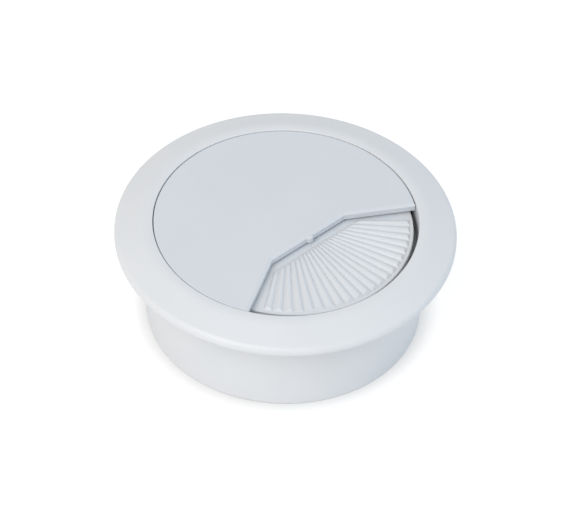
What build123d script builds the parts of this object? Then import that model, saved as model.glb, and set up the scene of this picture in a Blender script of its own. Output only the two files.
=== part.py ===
from build123d import *
from math import atan2, cos, hypot, radians, sin, sqrt, tan
import os

# A round cable grommet for a desk top: a flanged liner for the hole, a notched cap that turns in the
# liner, and a ribbed fan shutter that swings on a stud under the cap to open or close the notch.
# Millimetres, +Z up. The origin is on the liner's axis in the plane where the flange sits on the desk.
# The notch faces -Y, and the shutter is modelled closed.

# Liner: flange and tube
flange_radius = 37.0
flange_rim_height = 1.38
flange_rim_round = 1.3
flange_crest_height = 3.88
flange_crest_inset = 1.56
flange_crest_blend = 1.27
flange_lip_height = 3.66
lip_round = 0.2
flange_seat_width = 1.5
hollow_outer_height = 0.4
hollow_inner_height = 1.9
hollow_corner_round = 0.5
tube_radius = 29.9
tube_wall = 1.15
tube_length = 22.1
tube_end_round = 0.4

# Liner: ledge and snap groove that hold the cap
ledge_depth = 4.0
ledge_width = 1.3
ledge_thickness = 1.2
groove_above_ledge = 1.0
groove_height = 1.8
groove_depth = 0.45

# Cap: plate, skirt and snap beads
cap_sink = 0.06
cap_gap = 0.2
cap_thickness = 1.5
cap_edge_round = 0.2
skirt_wall = 0.7
skirt_setback = 6.0
skirt_lead_in = 0.3
seat_gap = 0.05
bead_count = 3
bead_spacing = 80.0
bead_span = 14.0
bead_clearance = 0.2

# Cap: three-sided notch, with a bevelled top edge and a small nib in its straight middle edge.
# Its two side edges point to a place near the axis.
notch_span = 119.3
notch_focus_x = 0.55
notch_focus_y = -0.5
notch_edge_distance = 6.69
bevel_width = 0.72
bevel_drop = 0.3
nib_x = 1.05
nib_radius = 0.95
nib_setback = 0.35
nib_drop = 0.12
nib_round = 0.45

# Cap: stop ribs and the split snap stud that carries the shutter
stop_rib_width = 1.2
stop_rib_height = 2.0
stop_gap = 0.25
stud_radius = 3.0
stud_bore_radius = 1.6
stud_slot_width = 0.8
stud_slot_above_barb = 1.8
barb_width = 0.45
barb_land = 0.45
barb_length = 1.65
barb_tip_inset = 0.4

# Shutter: fan plate and hub
running_gap = 0.1
rib_clearance = 0.16
shutter_side_gap = 0.16
shutter_overlap = 4.0
shutter_thickness = 1.2
shutter_edge_round = 0.25
rim_centre_x = 1.03
rim_centre_y = -0.5
swing_spare = 0.7
stud_clearance = 0.07
hub_wall = 2.43
hub_height = 3.0

# Shutter: finger ribs, which fan out from a focus near the axis
rib_count = 22
rib_side_margin = 7.9
rib_fan_turn = -1.5
rib_focus_x = 1.88
rib_focus_y = 1.42
rib_height = 0.5
rib_height_inner = 0.34
rib_fill = 0.86
rib_sink = 0.2
rib_inner_margin = 1.3
rib_inner_slope = 1.5
rib_outer_slope = 0.6
rim_width = 0.7

# Radii and levels that the pieces share
front = -90.0
bore_radius = tube_radius - tube_wall
ledge_radius = bore_radius - ledge_width
ledge_top = -ledge_depth
groove_bottom = ledge_top + groove_above_ledge
groove_top = groove_bottom + groove_height
cap_radius = bore_radius - cap_gap
cap_top = flange_lip_height - cap_sink
cap_underside = cap_top - cap_thickness
skirt_radius = cap_radius - skirt_wall
skirt_bottom = ledge_top + seat_gap
hub_radius = stud_radius + stud_clearance + hub_wall
hub_top = cap_underside - running_gap
hub_bottom = hub_top - hub_height
rim_radius = skirt_radius - shutter_side_gap - hypot(rim_centre_x, rim_centre_y)
shutter_top = cap_underside - rib_clearance - rib_height
shutter_half_span = notch_span / 2 + shutter_overlap
shutter_swing = notch_span / 2 + shutter_half_span + swing_spare

os.makedirs("parts", exist_ok=True)


def polar(radius, angle):
    """Point in plan at a radius and an angle in degrees about the axis."""
    return (radius * cos(radians(angle)), radius * sin(radians(angle)))


# Liner: one revolved section, with a blended crest beside the bore and the flange cored out underneath
crest_radius = bore_radius + flange_crest_inset
outer_slope = atan2(flange_crest_height - flange_rim_height, flange_radius - crest_radius)
inner_slope = atan2(flange_crest_height - flange_lip_height, flange_crest_inset)
crest_round = flange_crest_blend / tan((outer_slope + inner_slope) / 2)
hollow_radius = flange_radius - flange_seat_width
liner_corners = [
    ((bore_radius, -tube_length), tube_end_round),
    ((tube_radius, -tube_length), tube_end_round),
    ((tube_radius, hollow_inner_height), hollow_corner_round),
    ((hollow_radius, hollow_outer_height), 0),
    ((hollow_radius, 0), 0),
    ((flange_radius, 0), 0),
    ((flange_radius, flange_rim_height), flange_rim_round),
    ((crest_radius, flange_crest_height), crest_round),
    ((bore_radius, flange_lip_height), lip_round),
    ((bore_radius, groove_top), 0),
    ((bore_radius + groove_depth, groove_top - groove_depth), 0),
    ((bore_radius + groove_depth, groove_bottom + groove_depth), 0),
    ((bore_radius, groove_bottom), 0),
    ((bore_radius, ledge_top), 0),
    ((ledge_radius, ledge_top), 0),
    ((ledge_radius, ledge_top - ledge_thickness), 0),
    ((bore_radius, ledge_top - ledge_thickness - ledge_width), 0),
]
with BuildPart() as liner:
    with BuildSketch(Plane.XZ):
        with BuildLine():
            FilletPolyline(
                *[point for point, _ in liner_corners],
                radius=[corner_round for _, corner_round in liner_corners],
                close=True,
            )
        make_face()
    revolve(axis=Axis.Z)
liner.part.label = "liner"
export_step(liner.part, "parts/liner.step")


# Cap: plate with the notch, skirt, snap beads, stop ribs, split stud and nib
def notch_outline(side_turn):
    """Corners of the notch in plan, with both side edges turned outwards by an angle."""
    half_span = notch_span / 2 + side_turn
    half_width = (notch_edge_distance + notch_focus_y) * tan(radians(half_span))
    reach_y = -cap_radius - cap_gap
    half_reach = (notch_focus_y - reach_y) * tan(radians(half_span))
    return [
        (notch_focus_x - half_width, -notch_edge_distance),
        (notch_focus_x + half_width, -notch_edge_distance),
        (notch_focus_x + half_reach, reach_y),
        (notch_focus_x - half_reach, reach_y),
    ]


bead_radius = bore_radius + groove_depth - bead_clearance
bead_low = groove_bottom + bead_clearance
bead_high = groove_top - bead_clearance
bead_root = cap_radius - skirt_wall / 2
bead_slope = bead_radius - cap_radius
stop_rib_start = hub_radius + shutter_side_gap
stop_rib_length = skirt_radius + skirt_wall / 2 - stop_rib_start
closed_stop_angle = front - shutter_half_span
open_stop_angle = front + shutter_half_span + shutter_swing
barb_radius = stud_radius + barb_width
barb_top = hub_bottom - running_gap
barb_tip = barb_top - barb_length
nib_y = -(notch_edge_distance - nib_setback)

with BuildPart() as cap:
    with BuildSketch(Plane.XY.offset(cap_underside)):
        Circle(cap_radius)
        Polygon(*notch_outline(0), align=None, mode=Mode.SUBTRACT)
    extrude(amount=cap_thickness)
    cap_face = cap.faces().sort_by(Axis.Z)[-1]
    chamfer(cap_face.edges().filter_by(GeomType.LINE), bevel_width, bevel_drop, reference=cap_face)
    rim_edges = cap.faces().sort_by(Axis.Z)[-1].edges().filter_by(GeomType.CIRCLE)
    fillet(rim_edges, cap_edge_round)

    # Skirt that stands on the liner's ledge, open at the notch and set back from its side edges
    with BuildSketch(Plane.XY.offset(skirt_bottom)):
        Circle(cap_radius)
        Circle(skirt_radius, mode=Mode.SUBTRACT)
        Polygon(*notch_outline(skirt_setback), align=None, mode=Mode.SUBTRACT)
    extrude(amount=cap_underside - skirt_bottom)
    skirt_foot = cap.edges().filter_by(GeomType.CIRCLE).group_by(Axis.Z)[0].sort_by(SortBy.RADIUS)[-1]
    chamfer(skirt_foot, skirt_lead_in)

    # Snap beads that run in the liner's groove
    for number in range(bead_count):
        bead_middle = -front + (number - (bead_count - 1) / 2) * bead_spacing
        with BuildSketch(Plane.XZ.rotated((0, 0, bead_middle - bead_span / 2))):
            Polygon(
                (bead_root, bead_low),
                (cap_radius, bead_low),
                (bead_radius, bead_low + bead_slope),
                (bead_radius, bead_high - bead_slope),
                (cap_radius, bead_high),
                (bead_root, bead_high),
                align=None,
            )
        revolve(axis=Axis.Z, revolution_arc=bead_span)

    # Stop ribs at the two ends of the shutter's swing
    with BuildSketch(Plane.XY.offset(cap_underside)):
        for angle, side in ((closed_stop_angle, -1), (open_stop_angle, 1)):
            with Locations(Location((0, 0, 0), (0, 0, angle))):
                with Locations((stop_rib_start, side * (stop_gap + stop_rib_width / 2))):
                    Rectangle(stop_rib_length, stop_rib_width, align=(Align.MIN, Align.CENTER))
    extrude(amount=-stop_rib_height)

    # Stud with a barb, cored and slotted so that it springs through the hub
    with BuildSketch(Plane.XZ):
        Polygon(
            (0, cap_underside),
            (stud_radius, cap_underside),
            (stud_radius, barb_top),
            (barb_radius, barb_top),
            (barb_radius, barb_top - barb_land),
            (stud_radius - barb_tip_inset, barb_tip),
            (0, barb_tip),
            align=None,
        )
    revolve(axis=Axis.Z)
    with BuildSketch(Plane.XY.offset(barb_tip)):
        Circle(stud_bore_radius)
    extrude(amount=cap_underside - barb_tip, mode=Mode.SUBTRACT)
    with BuildSketch(Plane.XY.offset(barb_tip)):
        Rectangle(2 * hub_radius, stud_slot_width)
        Rectangle(stud_slot_width, 2 * hub_radius)
    extrude(amount=barb_length + stud_slot_above_barb, mode=Mode.SUBTRACT)

    # Half-round nib near the middle of the notch's straight edge
    with BuildSketch(Plane((nib_x, nib_y, 0), x_dir=(1, 0, 0), z_dir=(0, -1, 0))):
        with BuildLine():
            FilletPolyline(
                (0, cap_underside),
                (nib_radius, cap_underside),
                (nib_radius, cap_top - nib_drop),
                (0, cap_top - nib_drop),
                radius=[0, 0, nib_round, 0],
                close=True,
            )
        make_face()
    revolve(axis=Axis((nib_x, nib_y, 0), (0, 0, 1)))
cap.part.label = "cap"
export_step(cap.part, "parts/cap.step")


# Shutter: fan plate, finger ribs and hub
fan_reach = skirt_radius / cos(radians(shutter_half_span))
rib_crest = shutter_top + rib_height
rib_pitch = (notch_span - 2 * rib_side_margin) / rib_count
rib_inner_distance = notch_edge_distance + rib_inner_margin
rib_outer_radius = rim_radius - rim_width
rib_rise = (rib_height - rib_height_inner) / (rib_outer_radius - rib_inner_distance)


def rib_reach(angle):
    """Distance from the ribs' focus to the arc, concentric with the rim, where a rib at an angle ends."""
    aside_x = rib_focus_x - rim_centre_x
    aside_y = rib_focus_y - rim_centre_y
    along = aside_x * cos(radians(angle)) + aside_y * sin(radians(angle))
    return sqrt(rib_outer_radius**2 - aside_x**2 - aside_y**2 + along**2) - along


def rib_section(angle, distance):
    """A rib's round-topped section, on a plane across it at a distance from the ribs' focus."""
    along = (cos(radians(angle)), sin(radians(angle)), 0)
    across = (-along[1], along[0], 0)
    origin = (rib_focus_x + distance * along[0], rib_focus_y + distance * along[1], shutter_top)
    half_width = rib_fill * distance * tan(radians(rib_pitch / 2))
    height = rib_height - rib_rise * (rib_reach(angle) - distance)
    with BuildSketch(Plane(origin, x_dir=across, z_dir=along)) as section:
        with BuildLine():
            ThreePointArc((-half_width, 0), (0, height), (half_width, 0))
            Polyline((half_width, 0), (half_width, -rib_sink), (-half_width, -rib_sink), (-half_width, 0))
        make_face()
    return section.sketch


with BuildPart() as shutter:
    with BuildSketch(Plane.XY.offset(shutter_top - shutter_thickness)):
        with Locations((rim_centre_x, rim_centre_y)):
            Circle(rim_radius)
        Polygon(
            (0, 0),
            polar(fan_reach, front - shutter_half_span),
            polar(fan_reach, front + shutter_half_span),
            align=None,
            mode=Mode.INTERSECT,
        )
    extrude(amount=shutter_thickness)
    fan_edge = shutter.faces().sort_by(Axis.Z)[-1].edges().filter_by(GeomType.CIRCLE)
    fillet(fan_edge, shutter_edge_round)

    # Ribs, each lofted from a narrow inner end to a wide outer end
    for number in range(rib_count):
        rib_angle = front + rib_fan_turn + (number - (rib_count - 1) / 2) * rib_pitch
        inner_end = (rib_inner_distance + rib_focus_y) / -sin(radians(rib_angle))
        loft(sections=[rib_section(rib_angle, inner_end), rib_section(rib_angle, rib_reach(rib_angle))])

    # Sloped rib ends: in a straight line along the notch's middle edge, and round along the rim
    with BuildSketch(Plane.YZ):
        Polygon(
            (-rib_inner_distance, shutter_top),
            (-rib_inner_distance - rib_inner_slope, rib_crest),
            (-hub_radius, rib_crest),
            (-hub_radius, shutter_top),
            align=None,
        )
    extrude(amount=skirt_radius, both=True, mode=Mode.SUBTRACT)
    with BuildSketch(Plane((rim_centre_x, rim_centre_y, 0), x_dir=(1, 0, 0), z_dir=(0, -1, 0))):
        Polygon(
            (rib_outer_radius, shutter_top),
            (rib_outer_radius - rib_outer_slope, rib_crest),
            (skirt_radius, rib_crest),
            (skirt_radius, shutter_top),
            align=None,
        )
    revolve(axis=Axis((rim_centre_x, rim_centre_y, 0), (0, 0, 1)), mode=Mode.SUBTRACT)

    # Hub ring that turns on the stud
    with BuildSketch(Plane.XY.offset(hub_bottom)):
        Circle(hub_radius)
    extrude(amount=hub_height)
    with BuildSketch(Plane.XY.offset(hub_bottom)):
        Circle(stud_radius + stud_clearance)
    extrude(amount=hub_height, mode=Mode.SUBTRACT)
shutter.part.label = "shutter"
export_step(shutter.part, "parts/shutter.step")
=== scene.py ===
"""Studio view of a round desk cable grommet.

Its liner, notched cap and ribbed shutter are satin moulded plastic, and it stands on a white floor.
"""
from math import cos, radians, sin

import bpy
from mathutils import Matrix, Vector


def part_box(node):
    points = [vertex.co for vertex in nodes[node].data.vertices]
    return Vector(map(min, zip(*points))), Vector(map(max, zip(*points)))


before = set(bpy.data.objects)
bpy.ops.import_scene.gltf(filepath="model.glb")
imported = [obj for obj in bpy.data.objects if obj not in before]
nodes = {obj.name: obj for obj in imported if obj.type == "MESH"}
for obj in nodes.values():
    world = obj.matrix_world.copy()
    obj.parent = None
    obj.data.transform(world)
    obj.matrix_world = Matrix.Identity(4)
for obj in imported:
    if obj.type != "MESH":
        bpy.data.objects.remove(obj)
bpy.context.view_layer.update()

# Lengths are in metres and angles in degrees; the camera's lens and sensor are in millimetres
MM = 0.001

# Camera: turned about the grommet's axis, above the floor, and aimed a little off the cap's centre
CAMERA_AZIMUTH = -43.47
CAMERA_ELEVATION = 44.556
CAMERA_DISTANCE = 1077.1 * MM
CAMERA_ROLL = 1.921
AIM_RIGHT = 1.402 * MM
AIM_UP = -9.04 * MM
SENSOR_WIDTH = 36.0
LENS = 309.28

# Floor: white to the camera, shaded in a narrow band at the tube's foot, and dimmer inside the tube
FLOOR_SIZE = 6.0
FLOOR_COLOR = (0.90, 0.90, 0.90, 1)
FLOOR_SHADOW_COLOR = (0.35, 0.35, 0.35, 1)
FLOOR_GLOW = 0.775
FLOOR_CONTACT_GLOW = 0.18
FLOOR_CONTACT_REACH = 5 * MM
FLOOR_INSIDE_SHARE = 0.45
TUBE_MIDDLE_RADIUS = 29.3 * MM

# Surroundings: a white backdrop, and even ambient light on the grommet
BACKDROP = {"Color": (1, 1, 1, 1), "Strength": 1.0}
AMBIENT = {"Color": (1.0, 0.985, 0.952, 1), "Strength": 0.668}

# Broad soft lamps: the main one left of the camera, a weaker cool one right of it, without sheen
LAMP_SIZE = 0.45
LAMP_DISTANCE = 0.7
LAMPS = {
    "main_lamp": {
        "power": 2.39,
        "color": (1.0, 0.985, 0.968),
        "azimuth": CAMERA_AZIMUTH - 30,
        "elevation": 45,
        "sheen": True,
    },
    "fill_lamp": {
        "power": 0.79,
        "color": (0.20, 0.61, 1.0),
        "azimuth": CAMERA_AZIMUTH + 90,
        "elevation": 30,
        "sheen": False,
    },
}

# Plastics: each moulding's two tones, the range of its roughness and the size of its grain
LINER = {
    "tone": {"Light Tone": (0.705, 0.722, 0.752, 1), "Shade Tone": (0.685, 0.706, 0.740, 1)},
    "grain": {"Smooth": 0.36, "Rough": 0.46, "Grain Size": 0.35 * MM},
}
CAP = {
    "tone": {"Light Tone": (0.648, 0.678, 0.722, 1), "Shade Tone": (0.631, 0.663, 0.712, 1)},
    "grain": {"Smooth": 0.46, "Rough": 0.58, "Grain Size": 0.25 * MM},
}
SHUTTER = {
    "tone": {"Light Tone": (0.680, 0.702, 0.735, 1), "Shade Tone": (0.662, 0.688, 0.724, 1)},
    "grain": {"Smooth": 0.36, "Rough": 0.48, "Grain Size": 0.30 * MM},
}

# Grain and patches of tone that the three mouldings share
GRAIN_DEPTH = 0.004 * MM
GRAIN_STRENGTH = 1.0
PIT_SMOOTHNESS = 0.6
PIT_SHARE = 0.5
RIPPLE_DETAIL = 3.0
RIPPLE_ROUGHNESS = 0.6
PATCH_SIZE = 14 * MM
PATCH_DETAIL = 2.0

# Span that most values of a noise texture lie in, stretched to the full range of what it drives
NOISE_SPAN = {"From Min": 0.3, "From Max": 0.7}

# Kinds of socket on the shared effects
NUMBER = "NodeSocketFloat"
COLOR = "NodeSocketColor"


def direction(azimuth, elevation):
    """Unit vector from the grommet to a point round and above it; azimuth 0 is in front, at -Y."""
    turn = radians(azimuth)
    rise = radians(elevation)
    return Vector((sin(turn) * cos(rise), -cos(turn) * cos(rise), sin(rise)))


def add_node(tree, kind, inputs=None, **settings):
    """Adds a shader node with its settings; each input takes a value or another node's output."""
    node = tree.nodes.new(kind)
    for name, value in settings.items():
        setattr(node, name, value)
    for socket, value in (inputs or {}).items():
        if isinstance(value, bpy.types.NodeSocket):
            tree.links.new(value, node.inputs[socket])
        else:
            node.inputs[socket].default_value = value
    return node


def add_math(tree, operation, *operands):
    """Adds a maths node on values or other nodes' outputs, and returns its result."""
    node = add_node(tree, "ShaderNodeMath", dict(enumerate(operands)), operation=operation)
    return node.outputs[0]


def new_group(name, inputs, outputs):
    """A shader node group with named sockets; returns it, what it is given and what it puts out."""
    group = bpy.data.node_groups.new(name, "ShaderNodeTree")
    for side, sockets in (("INPUT", inputs), ("OUTPUT", outputs)):
        for socket, kind in sockets.items():
            group.interface.new_socket(socket, in_out=side, socket_type=kind)
    given = group.nodes.new("NodeGroupInput").outputs
    result = group.nodes.new("NodeGroupOutput").inputs
    return group, given, result


def texture_space(group, feature_size):
    """Inputs that lay a texture through the moulding, with features of the given size."""
    place = add_node(group, "ShaderNodeTexCoord")
    return {"Vector": place.outputs["Object"], "Scale": add_math(group, "DIVIDE", 1, feature_size)}


def make_mould_grain():
    """Spark-eroded mould grain: a height and a roughness that changes with it."""
    group, given, result = new_group(
        "Mould Grain",
        {"Grain Size": NUMBER, "Smooth": NUMBER, "Rough": NUMBER},
        {"Height": NUMBER, "Roughness": NUMBER},
    )
    space = texture_space(group, given["Grain Size"])
    pits = add_node(
        group,
        "ShaderNodeTexVoronoi",
        {**space, "Smoothness": PIT_SMOOTHNESS},
        feature="SMOOTH_F1",
    ).outputs["Distance"]
    ripple = add_node(
        group,
        "ShaderNodeTexNoise",
        {**space, "Detail": RIPPLE_DETAIL, "Roughness": RIPPLE_ROUGHNESS},
    ).outputs["Fac"]
    height = add_math(group, "MULTIPLY_ADD", pits, PIT_SHARE, ripple)
    roughness = add_node(
        group,
        "ShaderNodeMapRange",
        {"Value": ripple, **NOISE_SPAN, "To Min": given["Smooth"], "To Max": given["Rough"]},
    ).outputs["Result"]
    group.links.new(height, result["Height"])
    group.links.new(roughness, result["Roughness"])
    return group


def make_tone_drift():
    """Slow change between two tones of the pigment over the moulding."""
    group, given, result = new_group(
        "Tone Drift",
        {"Light Tone": COLOR, "Shade Tone": COLOR, "Patch Size": NUMBER},
        {"Color": COLOR},
    )
    space = texture_space(group, given["Patch Size"])
    patches = add_node(group, "ShaderNodeTexNoise", {**space, "Detail": PATCH_DETAIL})
    spread = add_node(group, "ShaderNodeMapRange", {"Value": patches.outputs["Fac"], **NOISE_SPAN})
    tone = add_node(
        group,
        "ShaderNodeMix",
        {"Factor": spread.outputs["Result"], "A": given["Light Tone"], "B": given["Shade Tone"]},
        data_type="RGBA",
    )
    group.links.new(tone.outputs["Result"], result["Color"])
    return group


def make_plastic(name, finish, grain_group, drift_group):
    """Satin moulded plastic from the two shared effects and one moulding's own values."""
    material = bpy.data.materials.new(name)
    material.use_nodes = True
    tree = material.node_tree
    tones = {**finish["tone"], "Patch Size": PATCH_SIZE}
    drift = add_node(tree, "ShaderNodeGroup", tones, node_tree=drift_group)
    grain = add_node(tree, "ShaderNodeGroup", finish["grain"], node_tree=grain_group)
    bump = add_node(
        tree,
        "ShaderNodeBump",
        {"Height": grain.outputs["Height"], "Strength": GRAIN_STRENGTH, "Distance": GRAIN_DEPTH},
    )
    surface = tree.nodes["Principled BSDF"].inputs
    tree.links.new(drift.outputs["Color"], surface["Base Color"])
    tree.links.new(grain.outputs["Roughness"], surface["Roughness"])
    tree.links.new(bump.outputs["Normal"], surface["Normal"])
    return material


def seen_directly(tree):
    """1 for what the camera sees, straight, in a reflection or through glass; 0 for other light."""
    path = add_node(tree, "ShaderNodeLightPath").outputs
    straight_or_gloss = add_math(tree, "MAXIMUM", path["Is Camera Ray"], path["Is Glossy Ray"])
    return add_math(tree, "MAXIMUM", straight_or_gloss, path["Is Transmission Ray"])


def end_tree(tree, output_kind, seen_share, lighting, seen):
    """Ends a node tree: what lights the grommet, and what the camera sees mixed in by a share."""
    mixed = add_node(tree, "ShaderNodeMixShader", {"Fac": seen_share, 1: lighting, 2: seen})
    add_node(tree, output_kind, {"Surface": mixed.outputs[0]})


def make_floor_finish():
    """White to the camera, with a faint soft shadow, and plain matt where it lights the grommet.

    The white is darker in a narrow band round the tube's foot, and dimmer inside the tube.
    """
    material = bpy.data.materials.new("white_floor")
    material.use_nodes = True
    tree = material.node_tree
    tree.nodes.clear()
    # Painted shade: occlusion dims the white glow in a narrow band round the tube's foot
    contact = add_node(tree, "ShaderNodeAmbientOcclusion", {"Distance": FLOOR_CONTACT_REACH})
    level = add_node(
        tree,
        "ShaderNodeMapRange",
        {"Value": contact.outputs["AO"], "To Min": FLOOR_CONTACT_GLOW, "To Max": FLOOR_GLOW},
    )
    glow = add_node(tree, "ShaderNodeEmission", {"Strength": level.outputs["Result"]})
    shaded = add_node(tree, "ShaderNodeBsdfDiffuse", {"Color": FLOOR_SHADOW_COLOR})
    white = add_node(tree, "ShaderNodeAddShader", {0: shaded.outputs[0], 1: glow.outputs[0]})
    plain = add_node(tree, "ShaderNodeBsdfDiffuse", {"Color": FLOOR_COLOR})
    # Painted shade: inside the tube less white glow and more of the plain lit floor is seen
    place = add_node(tree, "ShaderNodeTexCoord")
    radius = add_node(
        tree,
        "ShaderNodeVectorMath",
        {0: place.outputs["Object"]},
        operation="LENGTH",
    )
    outside = add_math(tree, "GREATER_THAN", radius.outputs["Value"], TUBE_MIDDLE_RADIUS)
    floor_share = add_math(tree, "MAXIMUM", outside, FLOOR_INSIDE_SHARE)
    white_share = add_math(tree, "MULTIPLY", floor_share, seen_directly(tree))
    end_tree(tree, "ShaderNodeOutputMaterial", white_share, plain.outputs[0], white.outputs[0])
    return material


def make_floor(height):
    """Wide level floor at the foot of the tube."""
    half = FLOOR_SIZE / 2
    corners = [(-half, -half, 0), (half, -half, 0), (half, half, 0), (-half, half, 0)]
    mesh = bpy.data.meshes.new("floor")
    mesh.from_pydata(corners, [], [(0, 1, 2, 3)])
    mesh.materials.append(make_floor_finish())
    floor = bpy.data.objects.new("floor", mesh)
    floor.location.z = height
    bpy.context.scene.collection.objects.link(floor)


def make_world():
    """Even light on the grommet, with a plain white backdrop behind it."""
    world = bpy.data.worlds.new("studio")
    world.use_nodes = True
    tree = world.node_tree
    tree.nodes.clear()
    ambient = add_node(tree, "ShaderNodeBackground", AMBIENT)
    backdrop = add_node(tree, "ShaderNodeBackground", BACKDROP)
    seen_share = seen_directly(tree)
    end_tree(tree, "ShaderNodeOutputWorld", seen_share, ambient.outputs[0], backdrop.outputs[0])
    bpy.context.scene.world = world


def make_lamp(name, power, color, azimuth, elevation, sheen):
    """Broad soft lamp, aimed at the grommet, that shows in its sheen or not."""
    data = bpy.data.lights.new(name, "AREA")
    data.energy = power
    data.color = color
    data.size = LAMP_SIZE
    lamp = bpy.data.objects.new(name, data)
    towards = direction(azimuth, elevation)
    lamp.location = towards * LAMP_DISTANCE
    lamp.rotation_euler = towards.to_track_quat("Z", "Y").to_euler()
    lamp.visible_glossy = sheen
    bpy.context.scene.collection.objects.link(lamp)


def make_camera(target):
    """Camera at its angle and distance, rolled a little, and aimed a little off the target."""
    data = bpy.data.cameras.new("camera")
    data.sensor_fit = "HORIZONTAL"
    data.sensor_width = SENSOR_WIDTH
    data.lens = LENS
    camera = bpy.data.objects.new("camera", data)
    back = direction(CAMERA_AZIMUTH, CAMERA_ELEVATION)
    right = Vector((0, 0, 1)).cross(back).normalized()
    up = back.cross(right)
    roll = radians(CAMERA_ROLL)
    rolled_right = right * cos(roll) + up * sin(roll)
    rolled_up = up * cos(roll) - right * sin(roll)
    turned = Matrix((rolled_right, rolled_up, back)).transposed().to_4x4()
    place = target + right * AIM_RIGHT + up * AIM_UP + back * CAMERA_DISTANCE
    camera.matrix_world = Matrix.Translation(place) @ turned
    bpy.context.scene.collection.objects.link(camera)
    bpy.context.scene.camera = camera


# The three mouldings in their plastics
grain_group = make_mould_grain()
drift_group = make_tone_drift()
for node_name, finish in (("liner", LINER), ("cap", CAP), ("shutter", SHUTTER)):
    plastic = make_plastic(node_name + "_plastic_satin", finish, grain_group, drift_group)
    nodes[node_name].data.materials[0] = plastic

# The studio round them
_, cap_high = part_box("cap")
liner_low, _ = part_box("liner")
make_floor(liner_low.z)
make_world()
for lamp_name, setting in LAMPS.items():
    make_lamp(lamp_name, **setting)
make_camera(Vector((0, 0, cap_high.z)))
bpy.context.scene.view_settings.view_transform = "Standard"
